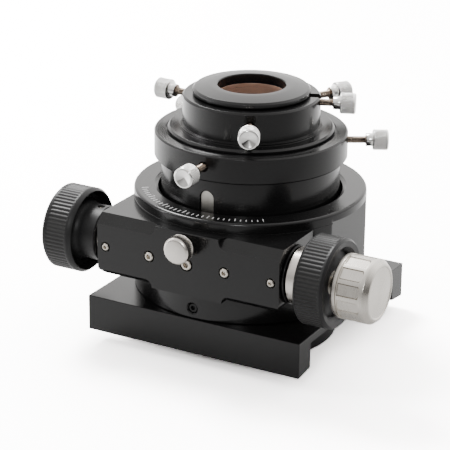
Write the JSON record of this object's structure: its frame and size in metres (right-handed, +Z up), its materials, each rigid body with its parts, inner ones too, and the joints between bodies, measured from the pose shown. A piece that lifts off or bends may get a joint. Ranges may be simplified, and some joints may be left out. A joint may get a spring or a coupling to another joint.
{
  "type": "dual-speed crayford focuser",
  "caption": "Dual-speed Crayford telescope focuser on a square saddle base, with a rotating body, a sliding drawtube and stacked eyepiece adapters.",
  "frame": {"origin": "middle of the footprint of the bounding box, on the plane that the drawtube stands on", "axes": "+Z up along the optical axis to the eyepiece, +X along the drive shaft to the fine focus knob, -Y to the front with the lock knob"},
  "size_m": [0.1649, 0.1264, 0.1212],
  "materials": {
    "black_anodised": "black anodised aluminium, satin gloss",
    "black_matte": "black anodised aluminium, matte, ribbed rim",
    "silver": "turned bare aluminium, brushed",
    "chrome": "polished nickel or chrome plate on steel",
    "steel": "plain machined steel",
    "brass": "spring brass with a copper tone",
    "bronze": "sintered bronze",
    "nylon": "natural nylon"
  },
  "bodies": {
    "base": {"saddle_base": "black_anodised", "base_bolt_1": "steel", "base_bolt_2": "steel", "base_bolt_3": "steel", "base_bolt_4": "steel", "pivot_collar": "black_anodised", "collar_screw_1": "black_anodised", "collar_screw_2": "black_anodised", "collar_screw_3": "black_anodised"},
    "focuser": {"focuser_body": "black_anodised", "bearing_axle_1": "steel", "bearing_axle_2": "steel", "bearing_axle_3": "steel", "bearing_axle_4": "steel", "shaft_carrier": "black_anodised", "shaft_bushing_left": "bronze", "shaft_bushing_right": "bronze", "end_cap_left": "silver", "end_cap_right": "black_anodised", "bushing_screw_left": "steel", "bushing_screw_right": "steel", "carrier_screw_left": "steel", "carrier_screw_right": "steel", "reducer_housing": "silver"},
    "coarse_drive": {"drive_shaft": "steel", "coarse_knob_left": "black_matte", "coarse_knob_right": "black_matte", "knob_grub_left": "steel", "planet_carrier": "steel", "planet_ball_1": "chrome", "planet_ball_2": "chrome", "planet_ball_3": "chrome"},
    "fine_drive": {"fine_shaft": "steel", "fine_knob": "silver", "fine_knob_grub": "steel"},
    "bearing_1": {"guide_bearing_1": "steel"},
    "bearing_2": {"guide_bearing_2": "steel"},
    "bearing_3": {"guide_bearing_3": "steel"},
    "bearing_4": {"guide_bearing_4": "steel"},
    "lock": {"lock_knob": "silver"},
    "brake": {"brake_pad": "nylon"},
    "tension": {"tension_screw": "steel"},
    "draw": {"drawtube": "black_anodised", "track_strip": "steel", "clamp_ring": "black_anodised", "compression_ring_3in": "brass"},
    "tube_screw_front": {"tube_screw_front": "chrome"},
    "tube_screw_right": {"tube_screw_right": "chrome"},
    "tube_screw_left": {"tube_screw_left": "chrome"},
    "two_inch": {"two_inch_adapter": "black_anodised", "compression_ring_2in": "brass"},
    "eyepiece_screw_front": {"eyepiece_screw_front": "chrome"},
    "eyepiece_screw_right": {"eyepiece_screw_right": "chrome"},
    "eyepiece_screw_left": {"eyepiece_screw_left": "chrome"},
    "small_holder": {"small_adapter": "black_anodised", "compression_ring_small": "brass"},
    "small_adapter_screw": {"small_adapter_screw": "chrome"}
  },
  "joints": [
    {"name": "focuser_rotation", "type": "hinge", "parent": "base", "child": "focuser", "pos_m": [-0.0072, 0.00735, 0.03], "axis": [0, 0, 1], "continuous": true},
    {"name": "coarse_turn", "type": "hinge", "parent": "focuser", "child": "coarse_drive", "pos_m": [0, -0.03815, 0.0518], "axis": [1, 0, 0], "range_deg": [-188, 469]},
    {"name": "focus_slide", "type": "slide", "parent": "focuser", "child": "draw", "axis": [0, 0, 1], "range_m": [-0.014, 0.035]},
    {"name": "fine_turn", "type": "hinge", "parent": "focuser", "child": "fine_drive", "pos_m": [0.075, -0.03815, 0.0518], "axis": [1, 0, 0], "range_deg": [-1876, 4687]},
    {"name": "bearing_1_roll", "type": "hinge", "parent": "focuser", "child": "bearing_1", "pos_m": [0.01988, 0.04602, 0.0435], "axis": [-0.8191, 0.5736, 0], "range_deg": [-161, 402]},
    {"name": "bearing_2_roll", "type": "hinge", "parent": "focuser", "child": "bearing_2", "pos_m": [0.01988, 0.04602, 0.0625], "axis": [-0.8191, 0.5736, 0], "range_deg": [-161, 402]},
    {"name": "bearing_3_roll", "type": "hinge", "parent": "focuser", "child": "bearing_3", "pos_m": [-0.03428, 0.04602, 0.0435], "axis": [-0.8191, -0.5736, 0], "range_deg": [-161, 402]},
    {"name": "bearing_4_roll", "type": "hinge", "parent": "focuser", "child": "bearing_4", "pos_m": [-0.03428, 0.04602, 0.0625], "axis": [-0.8191, -0.5736, 0], "range_deg": [-161, 402]},
    {"name": "lock_turn", "type": "hinge", "parent": "focuser", "child": "lock", "pos_m": [-0.0072, -0.055, 0.0615], "axis": [0, 1, 0], "range_deg": [0, 260]},
    {"name": "brake_press", "type": "slide", "parent": "focuser", "child": "brake", "axis": [0, 1, 0], "range_m": [0, 0.00051]},
    {"name": "tension_turn", "type": "hinge", "parent": "focuser", "child": "tension", "pos_m": [-0.0072, -0.05, 0.0518], "axis": [0, 1, 0], "range_deg": [-180, 90]},
    {"name": "two_inch_lift", "type": "slide", "parent": "draw", "child": "two_inch", "axis": [0, 0, 1], "range_m": [0, 0.02]},
    {"name": "small_lift", "type": "slide", "parent": "two_inch", "child": "small_holder", "axis": [0, 0, 1], "range_m": [0, 0.028]},
    {"name": "tube_screw_front_turn", "type": "hinge", "parent": "draw", "child": "tube_screw_front", "pos_m": [-0.0072, -0.03765, 0.094], "axis": [0, 1, 0], "range_deg": [-720, 90]},
    {"name": "tube_screw_right_turn", "type": "hinge", "parent": "draw", "child": "tube_screw_right", "pos_m": [0.03177, 0.02985, 0.094], "axis": [-0.866, -0.5, 0], "range_deg": [-720, 90]},
    {"name": "tube_screw_left_turn", "type": "hinge", "parent": "draw", "child": "tube_screw_left", "pos_m": [-0.04617, 0.02985, 0.094], "axis": [0.866, -0.5, 0], "range_deg": [-720, 90]},
    {"name": "eyepiece_screw_front_turn", "type": "hinge", "parent": "two_inch", "child": "eyepiece_screw_front", "pos_m": [0.01323, -0.03275, 0.1106], "axis": [-0.454, 0.891, 0], "range_deg": [-720, 90]},
    {"name": "eyepiece_screw_right_turn", "type": "hinge", "parent": "two_inch", "child": "eyepiece_screw_right", "pos_m": [0.01731, 0.04509, 0.1106], "axis": [-0.5446, -0.8387, 0], "range_deg": [-720, 90]},
    {"name": "eyepiece_screw_left_turn", "type": "hinge", "parent": "two_inch", "child": "eyepiece_screw_left", "pos_m": [-0.05214, 0.00971, 0.1106], "axis": [0.9986, -0.0523, 0], "range_deg": [-720, 90]},
    {"name": "small_adapter_screw_turn", "type": "hinge", "parent": "small_holder", "child": "small_adapter_screw", "pos_m": [0.03452, 0.02421, 0.1137], "axis": [-0.9272, -0.3746, 0], "range_deg": [-720, 90]}
  ],
  "couplings": [
    {"joint": "coarse_turn", "follows": "focus_slide", "rad_per_m": 233.64},
    {"joint": "fine_turn", "follows": "focus_slide", "rad_per_m": 2336.4},
    {"joint": "bearing_1_roll", "follows": "focus_slide", "rad_per_m": 200},
    {"joint": "bearing_2_roll", "follows": "focus_slide", "rad_per_m": 200},
    {"joint": "bearing_3_roll", "follows": "focus_slide", "rad_per_m": 200},
    {"joint": "bearing_4_roll", "follows": "focus_slide", "rad_per_m": 200},
    {"joint": "brake_press", "follows": "lock_turn", "m_per_rad": 0.0001114}
  ]
}
